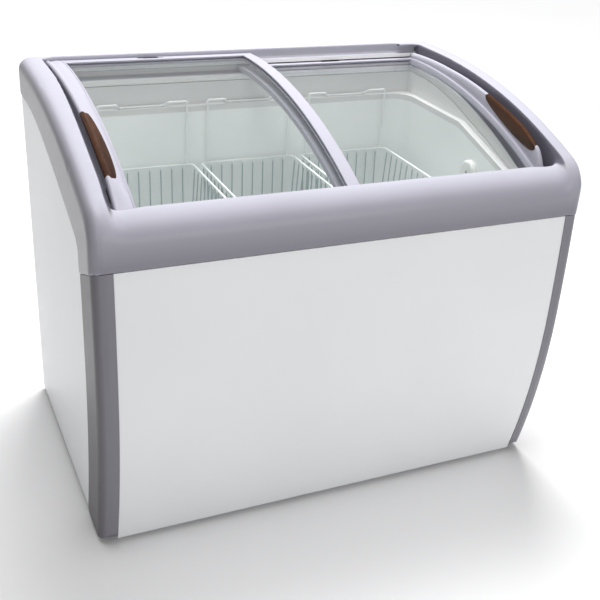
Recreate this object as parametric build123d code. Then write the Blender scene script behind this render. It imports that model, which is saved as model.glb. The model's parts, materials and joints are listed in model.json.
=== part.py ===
from build123d import *
import math
import os

# Curved-glass display chest freezer.
# Frame: X runs left to right, Y runs front (negative) to back (positive), Z is up.
# The origin lies on the floor, under the middle of the outer box. Millimetres.

# ---- overall size ----
BODY_W = 1000.0            # over the two painted side panels
FRAME_W = 1010.0           # over the moulded top frame
FRONT_Y = -335.0           # most forward point of the bulged front panel
REAR_Y = 336.5             # rear face of the top frame
FOOT_H = 12.0              # floor pads
SHEET = 0.8                # painted steel sheet
PANEL_BACK = 333.0         # outer face of the back panel
POST_PROUD = 1.5           # corner posts stand this far in front of the panel
POST_SIDE = 3.0            # and this far outside the side panels
POST_T = 2.8
SEAM = 0.8                 # gap between a post and the frame above it

# ---- front bulge: two arcs that meet with a vertical tangent at the belly ----
BELLY_Z = 392.0
R_LOW = 1460.0
R_HIGH = 5200.0
PANEL_TOP = 620.0          # top of the front panel, bottom of the frame's front band
PANEL_HALF = 467.0         # half width of the front panel
POST_DEPTH = 103.0         # corner post, measured back from the front

# ---- top frame ----
BAND_Y = -333.0            # front face of the band
NOSE_R = 56.0              # round over the top of the front band
RAIL_NOSE_R = 71.0         # same on the side rails, which stand higher
CREST_R, CREST_Y, CREST_Z = 1350.0, 215.0, -520.0   # arc along the top of the side rails
CREST_TOP = 830.0
RAIL_LOW = 753.0           # lower edge of the side rail at the back
BAY_HALF = 450.0           # half width between the rails, where the lids slide
OPEN_HALF = 430.0          # half width of the hole below the lids
OPEN_FRONT, OPEN_REAR = -262.0, 287.0
BAY_FRONT, BAY_REAR = -299.0, 314.0
LIP_REAR = -276.0          # rear edge of the lip over the lids' front edge
UNDER_BAND = 640.0         # underside of the front band's inner part
FRAME_ROUND = 26.0         # rounding of the frame's outer edges

# ---- lids: everything is concentric about one axis parallel to X ----
AXIS_Y, AXIS_Z = 230.0, -346.0
R_UPPER = 1170.0           # top of the left lid's rails, on the upper track
TRACK_DROP = 26.0          # the right lid runs this much lower
RAIL_T = 12.0              # thickness of the lid rails
GLASS_T = 4.0
GLASS_SINK = 4.0           # glass surface below the top of the rails
LID_FRONT, LID_REAR = -291.0, 311.0
LID_OUTER = 449.0          # closed lid, outer edge
LID_LAP = 16.0             # closed lid, inner edge past the middle
STILE_OUT = {-1: 38.0, 1: 19.0}   # width of the outer stile of the left and right lid
STILE_IN = 26.0
RAIL_DEPTH = 25.0          # rear rail of a lid
FRONT_RAIL_DEPTH = 12.0
SHELF_T = 10.0             # shelf between the two tracks
GLIDE_T = 1.7
GRIP_RISE = 12.0
GRIP_INNER = 423.5         # inner side of the handle insert
GRIP_FRONT, GRIP_REAR = -217.0, -34.0
RAMP_FRONT, RAMP_REAR = -278.0, 190.0   # where the grip dies into the stile

# ---- inside ----
LINER_T = 2.0
LINER_HALF = 415.0
LINER_FRONT, LINER_REAR = -246.0, 271.0
LINER_FLOOR = 100.0
LINER_R = 45.0
RIM_Z = 704.0              # liner rim at the back and sides
RIM_BEND_Y = 20.0          # forward of this the rim slopes down
RIM_FRONT_Z = 627.0
LEDGE = 13.0               # ledge over the rim, on which the baskets hang
STEP_X, STEP_Z = 190.0, 330.0   # raised floor over the machine bay
SKIRT_T = 3.0

# ---- drain ----
DRAIN_X, DRAIN_Y = -250.0, -140.0
DRAIN_BORE = 8.0

# ---- machine bay ----
BAY_X0, BAY_X1 = 206.0, 498.0
BAY_Y0 = -250.0
BAY_TOP = 300.0

COMP_X, COMP_Y, COMP_R = 345.0, 20.0, 72.0
FAN_X, FAN_Y, FAN_Z, FAN_R = 337.0, 205.0, 130.0, 70.0
KNOB_X, KNOB_Z, INLET_X = 430.0, 250.0, 262.0

# ---- temperature sensor on the right wall of the tub ----
SENSOR_Y, SENSOR_Z = -52.0, 622.0
SENSOR_R, SENSOR_H = 27.0, 12.0

# ---- evaporator ----
EVAP_D, EVAP_TURNS, EVAP_Z, EVAP_PITCH = 8.0, 5, 380.0, 50.0
EVAP_GAP = 0.5             # bonding layer between the tube and the tub

# ---- baskets ----
BASKET_W = 236.0
BASKET_PITCH = 252.0
BASKET_FRONT, BASKET_REAR = -240.0, 266.0
BASKET_RIM_Z = 582.0
BASKET_DEPTH = 215.0
RIM_WIRE, WIRE = 5.0, 3.0
RIM_CORNER = 14.0
WIRE_PITCH = 26.0
HANGER_WIRE = 4.5
HANGER_REACH = 16.0        # the dipped middle reaches this far out, over the ledge
HANGER_DIP = 11.0


def front_y(z):
    """Y of the painted front at height z."""
    r = R_LOW if z < BELLY_Z else R_HIGH
    return FRONT_Y + r - math.sqrt(r * r - (z - BELLY_Z) ** 2)


def arc_z(r, y):
    """Height of the lid arc of radius r at y."""
    return AXIS_Z + math.sqrt(r * r - (y - AXIS_Y) ** 2)


def crest_z(y, drop=0.0):
    """Height of the side rail's crest arc at y."""
    return CREST_Z + math.sqrt((CREST_R - drop) ** 2 - (y - CREST_Y) ** 2)


def box(x0, x1, y0, y1, z0, z1):
    size = Box(x1 - x0, y1 - y0, z1 - z0)
    return Pos((x0 + x1) / 2, (y0 + y1) / 2, (z0 + z1) / 2) * size


def along_x(edges, x0, x1):
    """Closed outline drawn in Y and Z, made solid from x0 to x1."""
    face = Plane.YZ * make_face(Curve() + edges)
    return Pos(x0, 0, 0) * extrude(face, amount=x1 - x0, dir=(1, 0, 0))


def arc_between(f, y0, y1):
    """Arc through three points of the curve z = f(y)."""
    ym = (y0 + y1) / 2
    return ThreePointArc((y0, f(y0)), (ym, f(ym)), (y1, f(y1)))


def lid_sector(r0, r1, y0, y1, x0, x1):
    """Curved slab between two radii of the lid arc."""
    low = arc_between(lambda y: arc_z(r0, y), y0, y1)
    high = arc_between(lambda y: arc_z(r1, y), y0, y1)
    sides = [Line(low @ 0, high @ 0), Line(low @ 1, high @ 1)]
    return along_x([low, high] + sides, x0, x1)


def above_arc(r, y0, y1, x0, x1, top=900.0):
    """Everything above the lid arc of radius r, up to a flat top."""
    low = arc_between(lambda y: arc_z(r, y), y0, y1)
    lid = Line((y0, top), (y1, top))
    sides = [Line(low @ 0, lid @ 0), Line(low @ 1, lid @ 1)]
    return along_x([low, lid] + sides, x0, x1)


def front_edges(offset, z0, z1):
    """The bulged front line moved back by offset, as arcs from z0 up to z1."""
    def point(z):
        return (front_y(z) + offset, z)
    parts = []
    for a, b in ((z0, min(z1, BELLY_Z)), (max(z0, BELLY_Z), z1)):
        if b > a:
            parts.append(ThreePointArc(point(a), point((a + b) / 2), point(b)))
    return parts


def both_sides(solid):
    return solid, mirror(solid, Plane.YZ)


# ---------------------------------------------------------------- cabinet shell
def rail_lower_edges(lift=0.0):
    """Lower edge of the side rail: level at the back, then a long curve to the post."""
    level = Line((REAR_Y, RAIL_LOW + lift), (245, RAIL_LOW + lift))
    bend = TangentArc((245, RAIL_LOW + lift), (67, 729 + lift), tangent=(-1, 0))
    slope = TangentArc(bend @ 1, (-205, 641 + lift), tangent=bend % 1)
    return level, bend, slope


def post_outline():
    """Side view of a corner post, with its rounded lower end."""
    z0 = FOOT_H + 2
    front = front_edges(-POST_PROUD, z0 + 14, PANEL_TOP - SEAM)
    back = front_edges(POST_DEPTH, z0 + 6, 578 - SEAM)
    foot = Line(front[0] @ 0, (front_y(z0) + 8, z0))
    sole = Line(foot @ 1, (front_y(z0) + POST_DEPTH - 8, z0))
    heel = Line(sole @ 1, back[0] @ 0)
    head = Line(front[-1] @ 1, back[-1] @ 1)
    return front + back + [foot, sole, heel, head]


def post_block(radius):
    """The post's full block with its outer front edge rounded."""
    x1 = BODY_W / 2 + POST_SIDE
    block = along_x(post_outline(), PANEL_HALF, x1)
    corner = [e for e in block.edges() if e.center().X > x1 - 0.1 and e.length > 60
              and e.center().Y < front_y(e.center().Z) + 1]
    return fillet(corner, radius)


def corner_post():
    """Moulded corner cover: front flange and side flange, rounded outer edge."""
    hollow = Pos(-POST_T, POST_T + POST_PROUD, 0) * post_block(22)
    hollow += Pos(-POST_T, 30, 0) * along_x(post_outline(), PANEL_HALF, BODY_W / 2 + POST_SIDE)
    return post_block(24) - hollow


def front_panel():
    """Bulged steel front with folded top and bottom edges."""
    z0, z1 = FOOT_H, PANEL_TOP - 1.5
    half = PANEL_HALF - 0.3
    skin = front_edges(0, z0, z1)
    back = front_edges(SHEET, z0, z1)
    caps = [Line(skin[0] @ 0, back[0] @ 0), Line(skin[-1] @ 1, back[-1] @ 1)]
    sheet = along_x(skin + back + caps, -half, half)
    y0, y1 = front_y(z0) + 0.2, front_y(z1) + 0.2
    sheet += box(-half, half, y0, y0 + 24, z0, z0 + SHEET)
    return sheet + box(-half, half, y1, y1 + 18, z1 - SHEET, z1)


def side_panel():
    """Right painted side with a folded rear and bottom flange."""
    z0 = FOOT_H
    level, bend, slope = rail_lower_edges(13)
    back = front_edges(POST_DEPTH - 12, z0, 590)
    x1 = BODY_W / 2
    rear = Line((333, z0), (333, RAIL_LOW + 13))
    level = Line((333, RAIL_LOW + 13), (245, RAIL_LOW + 13))
    close = Line(slope @ 1, back[-1] @ 1)
    floor = Line(back[0] @ 0, (333, z0))
    sheet = along_x(back + [rear, level, bend, slope, close, floor], x1 - SHEET, x1)
    fold = box(x1 - 16, x1 - SHEET, 333 - SHEET, 333, z0, RAIL_LOW + 12)
    return sheet + fold


def back_panel():
    """Flat steel back with an opening for the machine bay."""
    x1 = BODY_W / 2 - 17
    sheet = box(-x1, x1, 333 - SHEET, 333, FOOT_H, RAIL_LOW + 12)
    return sheet - box(BAY_X0 + 14, x1 - 14, 330, 334, 34, BAY_TOP - 16)


def base_plate():
    """Galvanised bottom plate with a downturned lip and air slots under the bay."""
    plate = box(-498, 498, front_y(FOOT_H) + 26, 331, FOOT_H, FOOT_H + 1.5)
    for i in range(9):
        x = 240 + 26 * i
        plate -= box(x, x + 12, -200, -60, FOOT_H - 1, FOOT_H + 3)
    return plate


def floor_pad(x, y):
    pad = Pos(x, y, FOOT_H / 2) * Cylinder(22, FOOT_H)
    return chamfer(pad.edges().group_by(Axis.Z)[0], 2)


# ---------------------------------------------------------------- top frame
def frame_outline():
    """Side view of the frame: band face, nose, long crest, back, lower edge."""
    nose_y = BAND_Y + RAIL_NOSE_R
    reach = CREST_R - RAIL_NOSE_R
    nose_z = CREST_Z + math.sqrt(reach ** 2 - (nose_y - CREST_Y) ** 2)
    k = CREST_R / reach
    join = (CREST_Y + (nose_y - CREST_Y) * k, CREST_Z + (nose_z - CREST_Z) * k)
    face = Line((BAND_Y, PANEL_TOP), (BAND_Y, nose_z))
    nose = TangentArc((BAND_Y, nose_z), join, tangent=(0, 1))
    mid = (join[0] + CREST_Y) / 2
    crest = ThreePointArc(join, (mid, crest_z(mid)), (CREST_Y, CREST_TOP))
    flat = Line((CREST_Y, CREST_TOP), (REAR_Y - 20, CREST_TOP))
    turn = TangentArc((REAR_Y - 20, CREST_TOP), (REAR_Y, CREST_TOP - 20), tangent=(1, 0))
    back = Line((REAR_Y, CREST_TOP - 20), (REAR_Y, RAIL_LOW))
    level, bend, slope = rail_lower_edges()
    drop = TangentArc(slope @ 1, (-227, 612), tangent=slope % 1)
    tail = Line((-227, 612), (-227, 578))
    seam = Line((-227, 578), (BAND_Y, PANEL_TOP))
    return [face, nose, crest, flat, turn, back, level, bend, slope, drop, tail, seam]


def under_frame(z_low):
    """Space under the frame, taken up by panels, foam and neck."""
    level, bend, slope = rail_lower_edges(13)
    start, end = (PANEL_BACK, RAIL_LOW + 13), slope @ 1
    edges = [Line((PANEL_BACK, z_low), start), Line(start, (245, RAIL_LOW + 13)), bend, slope,
             Line(end, (-240, UNDER_BAND)), Line((-240, UNDER_BAND), (-328, UNDER_BAND)),
             Line((-328, UNDER_BAND), (-328, z_low)), Line((-328, z_low), (PANEL_BACK, z_low))]
    space = along_x(edges, -BODY_W / 2 - 0.3, BODY_W / 2 + 0.3)
    corners = [e for e in space.edges().filter_by(Axis.Z) if e.center().Y < -320]
    return fillet(corners, FRAME_ROUND - 5)


def band_cut():
    """Air above the front band between the rails, where the band is lower."""
    top = arc_z(R_UPPER, LIP_REAR) + 5
    z0, y0 = top - NOSE_R, BAND_Y - 30
    nose = TangentArc((BAND_Y, z0), (BAND_Y + NOSE_R, top), tangent=(0, 1))
    corners = [(BAND_Y + NOSE_R, top), (LIP_REAR + 1, top), (LIP_REAR + 1, 900), (y0, 900), (y0, z0),
               (BAND_Y, z0)]
    edges = [Line(corners[i], corners[i + 1]) for i in range(5)]
    return along_x([nose] + edges, -BAY_HALF, BAY_HALF)


def top_frame():
    half = FRAME_W / 2
    body = along_x(frame_outline(), -half, half)
    outer = [e for e in body.edges() if abs(abs(e.center().X) - half) < 0.1]
    round_over = [e for e in outer if e.center().Z > PANEL_TOP + 20 and (
        e.center().Z > RAIL_LOW + 30 or e.center().Y < -280)]
    body = fillet(round_over, FRAME_ROUND)
    # room for the foam, the panels and the posts under the frame
    body -= under_frame(500)
    body -= box(-PANEL_HALF, PANEL_HALF, -340, -300, 560, PANEL_TOP)
    # the bay in which the two lids slide
    r_floor = R_UPPER - TRACK_DROP - RAIL_T - 2
    bay = above_arc(r_floor, LIP_REAR, BAY_REAR, -BAY_HALF, BAY_HALF)
    groove = lid_sector(r_floor, R_UPPER + 2, BAY_FRONT, LIP_REAR, -BAY_HALF, BAY_HALF)
    shelf_top = R_UPPER - RAIL_T - 2
    front_shelf = lid_sector(shelf_top - SHELF_T, shelf_top, BAY_FRONT, LIP_REAR - 4, -BAY_HALF, BAY_HALF)
    rear_shelf = lid_sector(shelf_top - SHELF_T, shelf_top, BAY_REAR - 11, BAY_REAR, -BAY_HALF, BAY_HALF)
    body -= (bay + groove) - front_shelf - rear_shelf
    body -= band_cut()
    body -= box(-OPEN_HALF, OPEN_HALF, OPEN_FRONT, OPEN_REAR, 500, 900)
    keeper = box(404, BAY_HALF, BAY_REAR - 12, BAY_REAR, arc_z(R_UPPER, BAY_REAR) + 3, CREST_TOP)
    return body + keeper


def below_rim(lift=0.0):
    """Everything under the liner rim, which is level and then slopes down to the front."""
    y0, y1, low = -330, 331, 50
    slope = (RIM_Z - RIM_FRONT_Z) / (RIM_BEND_Y - OPEN_FRONT)
    z0 = RIM_Z - slope * (RIM_BEND_Y - y0)
    points = [(y0, z0 + lift), (RIM_BEND_Y, RIM_Z + lift), (y1, RIM_Z + lift), (y1, low), (y0, low)]
    edges = [Line(points[i], points[(i + 1) % 5]) for i in range(5)]
    return along_x(edges, -520, 520)


def inner_skirt():
    """Grey neck from the frame down to the liner rim, with the ledge for the baskets."""
    outer = box(-OPEN_HALF - SKIRT_T, OPEN_HALF + SKIRT_T, OPEN_FRONT - SKIRT_T, OPEN_REAR + SKIRT_T, 600, 800)
    wall = outer - box(-OPEN_HALF, OPEN_HALF, OPEN_FRONT, OPEN_REAR, 590, 810)
    wall -= below_rim(LEDGE)
    ledge = (outer & below_rim(LEDGE)) - below_rim() - tub(0, 760)
    return (wall + ledge) & under_frame(500)


def tub(grow, top):
    """Solid of the tub's space, grown outwards by a wall thickness."""
    w = 2 * (LINER_HALF + grow)
    d = LINER_REAR - LINER_FRONT + 2 * grow
    face = Pos(0, (LINER_REAR + LINER_FRONT) / 2, LINER_FLOOR - grow) * RectangleRounded(w, d, LINER_R + grow)
    solid = extrude(face, amount=top - LINER_FLOOR + grow)
    solid = fillet(solid.edges().group_by(Axis.Z)[0], 18 + grow)
    return solid - box(STEP_X + grow, 600, -400, 400, 0, STEP_Z - grow)


def liner():
    """White inner tub with a raised floor on the right and a flange under the ledge."""
    wall = tub(LINER_T, 760) & below_rim()
    flange = below_rim() - below_rim(-LINER_T)
    flange &= box(-OPEN_HALF - 16, OPEN_HALF + 16, OPEN_FRONT - 12, OPEN_REAR + 14, 580, 720)
    body = wall + flange - tub(0, 770)
    return body - Pos(DRAIN_X, DRAIN_Y, LINER_FLOOR) * Cylinder(DRAIN_BORE, 20)


# ---------------------------------------------------------------- lids
def lid_parts(side):
    """The pieces of one lid. side -1 is the left lid on the upper track, +1 the right one."""
    top = R_UPPER if side < 0 else R_UPPER - TRACK_DROP
    low = top - RAIL_T
    g1 = top - GLASS_SINK
    g0 = g1 - GLASS_T

    def span(a, b):
        return (a, b) if side > 0 else (-b, -a)

    stile = LID_OUTER - STILE_OUT[side]
    outer_x = span(stile, LID_OUTER)
    inner_x = span(-LID_LAP, -LID_LAP + STILE_IN)
    glass_x = span(-LID_LAP + 8, stile + 10)
    between = span(-LID_LAP + STILE_IN, stile)
    glass = lid_sector(g0, g1, LID_FRONT + 5, LID_REAR - 5, *glass_x)
    outer = lid_sector(low, top, LID_FRONT, LID_REAR, *outer_x)
    grip, insert = grip_solids(top, side)
    outer = outer + grip - insert - glass
    inner = lid_sector(low, top, LID_FRONT, LID_REAR, *inner_x) - glass
    rear = lid_sector(low, top, LID_REAR - RAIL_DEPTH, LID_REAR, *between) - glass
    mid = side * (LID_OUTER - LID_LAP) / 2
    slot = lid_sector(top - 3, top + 3, LID_REAR - 14, LID_REAR - 7, mid - 23, mid + 23)
    rear -= slot
    front = lid_sector(low, top, LID_FRONT, LID_FRONT + FRONT_RAIL_DEPTH, *between) - glass
    glides = []
    for x in (span(-LID_LAP + 4, -LID_LAP + 20), span(LID_OUTER - 30, LID_OUTER - 10)):
        for y in (LID_FRONT + 1, LID_REAR - 7):
            glides.append(lid_sector(low - GLIDE_T, low, y, y + 6, *x))
    bumper_x = span(LID_OUTER, LID_OUTER + 0.7)
    bumpers = [lid_sector(low + 3, top - 3, y, y + 30, *bumper_x) for y in (LID_FRONT + 40, LID_REAR - 70)]
    return {
        "glass": glass, "outer_stile": outer, "inner_stile": inner, "rear_rail": rear,
        "front_rail": front, "handle_insert": insert, "glides": Compound(glides),
        "bumpers": Compound(bumpers)}


def grip_solids(top, side):
    """The raised grip on an outer stile, and the insert let into it, leaf-shaped in side view."""
    crown = arc_between(lambda y: arc_z(top + GRIP_RISE, y), GRIP_FRONT, GRIP_REAR)
    foot = arc_between(lambda y: arc_z(top - 2, y), RAMP_FRONT, RAMP_REAR)
    rear = TangentArc(crown @ 1, (RAMP_REAR, arc_z(top, RAMP_REAR)), tangent=crown % 1)
    front = Line((RAMP_FRONT, arc_z(top, RAMP_FRONT)), crown @ 0)
    outline = [foot, crown, rear, front, Line(foot @ 0, front @ 0), Line(foot @ 1, rear @ 1)]
    x0, x1 = sorted((side * (GRIP_INNER + 1.5), side * LID_OUTER))
    body = along_x(outline, x0, x1)
    middle = (GRIP_FRONT + GRIP_REAR) / 2
    leaf = ThreePointArc(crown @ 0, (middle, arc_z(top - 2, middle)), crown @ 1)
    x0, x1 = sorted((side * GRIP_INNER, side * LID_OUTER))
    return body, along_x([crown, leaf], x0, x1)


# ---------------------------------------------------------------- baskets
def wire_path(points, diameter, radius=8.0):
    """Round wire bent through the points, with arcs at the bends."""
    if len(points) > 2:
        path = FilletPolyline(*points, radius=radius)
    else:
        path = Line(*points)
    start = path @ 0
    return sweep(Plane(origin=start, z_dir=path % 0) * Circle(diameter / 2), path=path)


def closed_ring(x1, y0, y1, z, diameter, radius):
    """Wire ring, a rectangle with rounded corners, made of two bent halves that meet at X = 0."""
    half = wire_path([(0, y0, z), (x1, y0, z), (x1, y1, z), (0, y1, z)], diameter, radius)
    return half + mirror(half, Plane.YZ)


def ledge_z(y):
    """Height of the ledge on which the hangers rest."""
    slope = (RIM_Z - RIM_FRONT_Z) / (RIM_BEND_Y - OPEN_FRONT)
    return RIM_Z + LEDGE - slope * max(0, RIM_BEND_Y - y)


def hanger_dip(y, way):
    """Height of the lowest part of a hanger's bar, just over the ledge."""
    return ledge_z(y + way * HANGER_REACH + HANGER_WIRE) + HANGER_WIRE / 2 + 0.4


def hanger(y, way):
    """Hook wire rising from the rim, dipped in the middle where it sits on the ledge."""
    x, z = (BASKET_W - RIM_WIRE) / 2 - RIM_CORNER, BASKET_RIM_Z
    seat, dip = y + way * HANGER_REACH, hanger_dip(y, way)
    top = dip + HANGER_DIP
    inner = x - 52
    points = [(-x, y, z), (-x, y, top), (-inner - 10, y, top), (-inner, seat, dip),
              (inner, seat, dip), (inner + 10, y, top), (x, y, top), (x, y, z)]
    return wire_path(points, HANGER_WIRE, 5.0)


def basket():
    """One welded wire basket, centred on X = 0."""
    x1 = BASKET_W / 2 - RIM_WIRE / 2
    y0, y1 = BASKET_FRONT + RIM_WIRE / 2, BASKET_REAR - RIM_WIRE / 2
    z1, z0 = BASKET_RIM_Z, BASKET_RIM_Z - BASKET_DEPTH
    wires = [closed_ring(x1, y0, y1, z1, RIM_WIRE, RIM_CORNER)]
    inset = 10
    bx, by0, by1 = x1 - inset, y0 + inset, y1 - inset
    wires.append(closed_ring(bx + 1.5, by0 - 1.5, by1 + 1.5, z0 + 18, WIRE + 1, 12))
    nx = int((2 * x1 - 24) // WIRE_PITCH)
    for i in range(nx + 1):
        x = (i - nx / 2) * WIRE_PITCH
        wires.append(wire_path([(x, y0, z1), (x, by0, z0), (x, by1, z0), (x, y1, z1)], WIRE, 8))
    ny = int((y1 - y0 - 24) // WIRE_PITCH)
    for i in range(ny + 1):
        y = (y0 + y1) / 2 + (i - ny / 2) * WIRE_PITCH
        z = z0 - WIRE + 0.6
        wires.append(wire_path([(-x1, y, z1), (-bx, y, z), (bx, y, z), (x1, y, z1)], WIRE, 8))
    wires += [hanger(y0, -1), hanger(y1, 1)]
    return wires[0].fuse(*wires[1:])


def basket_panels(shape):
    """The basket as its welded panels: bottom, four walls, and legs and bar of each hanger."""
    x1, far = BASKET_W / 2 + 20, 60
    low, rim = BASKET_RIM_Z - BASKET_DEPTH + 10, BASKET_RIM_Z + RIM_WIRE / 2 + 0.5
    front, rear = BASKET_FRONT + RIM_WIRE + 9.5, BASKET_REAR - RIM_WIRE - 9.5
    y0, y1 = BASKET_FRONT - far, BASKET_REAR + far
    panels = [box(-x1, x1, y0, y1, 300, low), box(-x1, x1, y0, front, low, rim),
              box(-x1, x1, rear, y1, low, rim), box(-x1, 0, front, rear, low, rim),
              box(0, x1, front, rear, low, rim)]
    for y, way in ((BASKET_FRONT, -1), (BASKET_REAR, 1)):
        bar = hanger_dip(y - way * RIM_WIRE / 2, way) - HANGER_WIRE
        a, b = min(y - 20, y + way * far), max(y + 20, y + way * far)
        panels += [box(-x1, 0, a, b, rim, bar), box(0, x1, a, b, rim, bar), box(-x1, x1, a, b, bar, 800)]
    solids = [solid for panel in panels for solid in (shape & panel).solids()]
    return Compound(solids)


# ---------------------------------------------------------------- drain and sensor
def drain_tube():
    """Outlet from the tub floor down through the foam and the base plate."""
    body = Pos(DRAIN_X, DRAIN_Y, (FOOT_H + LINER_FLOOR - LINER_T) / 2 + 1)
    body *= Cylinder(DRAIN_BORE + 3, LINER_FLOOR - LINER_T - FOOT_H - 2)
    return body - Pos(DRAIN_X, DRAIN_Y, 60) * Cylinder(DRAIN_BORE, 140)


def drain_plug():
    """Rubber bung with a pull rim."""
    stem = Pos(DRAIN_X, DRAIN_Y, LINER_FLOOR - 9) * Cylinder(DRAIN_BORE - 0.3, 19)
    head = Pos(DRAIN_X, DRAIN_Y, LINER_FLOOR + 3.3) * Cylinder(15, 6)
    head = fillet(head.edges().group_by(Axis.Z)[-1], 2)
    return stem + head - Pos(DRAIN_X, DRAIN_Y, LINER_FLOOR + 6.3) * Cylinder(10, 4)


def facing_left(x, solid):
    """Turn a part drawn along Z so that it stands out of the right wall of the tub."""
    return Pos(x, SENSOR_Y, SENSOR_Z) * Rot(0, -90, 0) * solid


def sensor_cap():
    cap = Pos(0, 0, SENSOR_H / 2) * Cylinder(SENSOR_R, SENSOR_H)
    cap = fillet(cap.edges().group_by(Axis.Z)[-1], 6)
    cap -= Pos(0, 0, SENSOR_H / 2 - 2) * Cylinder(SENSOR_R - 2.5, SENSOR_H - 1)
    cap += Pos(0, 0, SENSOR_H / 2) * Cylinder(4, SENSOR_H)
    cap -= Pos(0, 0, SENSOR_H - 1) * Cylinder(4.2, 2) + Pos(0, 0, 5) * Cylinder(1.7, 20)
    return facing_left(LINER_HALF, cap)


def sensor_screw():
    head = Pos(0, 0, SENSOR_H - 1.1) * Cylinder(3.6, 1.8)
    head -= Pos(0, 0, SENSOR_H - 0.4) * (Box(4.4, 0.9, 1.2) + Box(0.9, 4.4, 1.2))
    shank = Pos(0, 0, SENSOR_H / 2 - 1) * Cylinder(1.7, SENSOR_H - 2)
    return facing_left(LINER_HALF, head + shank)


def sensor_probe():
    return facing_left(LINER_HALF, Pos(12, 0, 4.2) * Cylinder(3, 7))


def evaporator_tube():
    """Tube wound round the tub inside the foam, one turn above another."""
    off = LINER_T + EVAP_GAP + EVAP_D / 2
    x1, y0, y1 = LINER_HALF + off, LINER_FRONT - off, LINER_REAR + off
    points = [(-200, y1, EVAP_Z)]
    for i in range(EVAP_TURNS):
        z = EVAP_Z + i * EVAP_PITCH
        points += [(-x1, y1, z + 6), (-x1, y0, z), (x1, y0, z), (x1, y1, z)]
    return wire_path(points + [(200, y1, z + 20)], EVAP_D, 30)


# ---------------------------------------------------------------- machine bay
def machine_bay_wall():
    """Folded sheet that separates the foam from the bay: top, inner side and front."""
    outer = box(BAY_X0 - SHEET, BAY_X1, BAY_Y0 - SHEET, 331, FOOT_H + 2, BAY_TOP + SHEET)
    return outer - box(BAY_X0, BAY_X1 + 1, BAY_Y0, 332, FOOT_H + 1, BAY_TOP)


def compressor():
    """Hermetic compressor: domed shell, weld seam, foot plate and pipe stubs."""
    shell = Cylinder(COMP_R, 150)
    shell = fillet(shell.edges().group_by(Axis.Z)[-1], 42)
    shell = fillet(shell.edges().group_by(Axis.Z)[0], 24)
    shell += Pos(0, 0, -8) * Cylinder(COMP_R + 3, 5)
    body = Pos(COMP_X, COMP_Y, 104) * shell
    foot = box(COMP_X - 88, COMP_X + 88, COMP_Y - 62, COMP_Y + 62, 29, 32)
    body += fillet(foot.edges().filter_by(Axis.Z), 14)
    for x, y in comp_feet():
        body -= Pos(x, y, 30) * Cylinder(8, 10)
    for dy in (-24, 24):
        body += Pos(COMP_X - COMP_R - 12, COMP_Y + dy, 90) * Rot(0, 90, 0) * Cylinder(4, 40)
    return body


def comp_feet():
    return [(COMP_X + sx * 76, COMP_Y + sy * 48) for sx in (-1, 1) for sy in (-1, 1)]


def compressor_grommets():
    base = FOOT_H + 1.5
    out = []
    for x, y in comp_feet():
        pad = Pos(x, y, base + 7.7) * Cylinder(13, 15.4) + Pos(x, y, base + 17) * Cylinder(7.9, 6)
        pad += Pos(x, y, 34) * Cylinder(12, 3.8)
        out.append(pad - Pos(x, y, 25) * Cylinder(4, 40))
    return Compound(out)


def compressor_bolts():
    out = []
    for x, y in comp_feet():
        out.append(Pos(x, y, 25.5) * Cylinder(3, 24) + extrude(Pos(x, y, 36) * RegularPolygon(5.5, 6), amount=5))
    return Compound(out)


def start_relay_box():
    cover = box(COMP_X + 76.5, COMP_X + 104, COMP_Y - 26, COMP_Y + 26, 70, 130)
    return fillet(cover.edges().filter_by(Axis.X), 5)


def condenser_coil():
    """Tube passes through a stack of fins, held by two end plates."""
    x0, x1, y0, y1, z0, z1 = 222.0, 452.0, 262.0, 300.0, 40.0, 222.0
    solids = []
    count = 20
    for i in range(count + 1):
        x = x0 + (x1 - x0) * i / count
        t = 1.2 if i in (0, count) else 0.5
        solids.append(box(x - t / 2, x + t / 2, y0, y1, z0, z1))
    rows = 6
    for k in range(rows):
        z = z0 + 16 + k * (z1 - z0 - 32) / (rows - 1)
        for y in (y0 + 10, y1 - 10):
            solids.append(Pos((x0 + x1) / 2, y, z) * Rot(0, 90, 0) * Cylinder(4, x1 - x0 + 16))
    return solids[0].fuse(*solids[1:])


def fan_bracket():
    """Sheet shroud with a round opening and three arms to the motor."""
    x0, x1, z0, z1 = 222.0, 452.0, FOOT_H + 1.5, 232.0
    plate = box(x0, x1, FAN_Y + 20, FAN_Y + 21.5, z0, z1)
    plate += box(x0, x1, FAN_Y + 21.5, FAN_Y + 34, z0, z0 + 1.5)
    hole = Pos(FAN_X, FAN_Y + 20, FAN_Z) * Rot(90, 0, 0) * Cylinder(FAN_R + 5, 20)
    plate -= hole
    for a in (90, 210, 330):
        arm = Pos(FAN_X, FAN_Y + 20.75, FAN_Z) * Rot(0, a, 0) * Pos((FAN_R + 35) / 2, 0, 0)
        plate += arm * Box(FAN_R - 15, 1.5, 10)
    ring = Pos(FAN_X, FAN_Y + 20.75, FAN_Z) * Rot(90, 0, 0) * (Cylinder(30, 1.5) - Cylinder(24, 4))
    return plate + ring


def fan_motor():
    """Motor can on the inner side of the shroud, with a bore for the fan's shaft."""
    can = Pos(FAN_X, FAN_Y + 34, FAN_Z) * Rot(90, 0, 0) * Cylinder(23.9, 30)
    can = fillet(can.edges().group_by(Axis.Y)[-1], 4)
    can += Pos(FAN_X, FAN_Y + 24, FAN_Z) * Rot(90, 0, 0) * (Cylinder(29, 5))
    return can - Pos(FAN_X, FAN_Y + 24, FAN_Z) * Rot(90, 0, 0) * Cylinder(3.06, 30)


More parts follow.
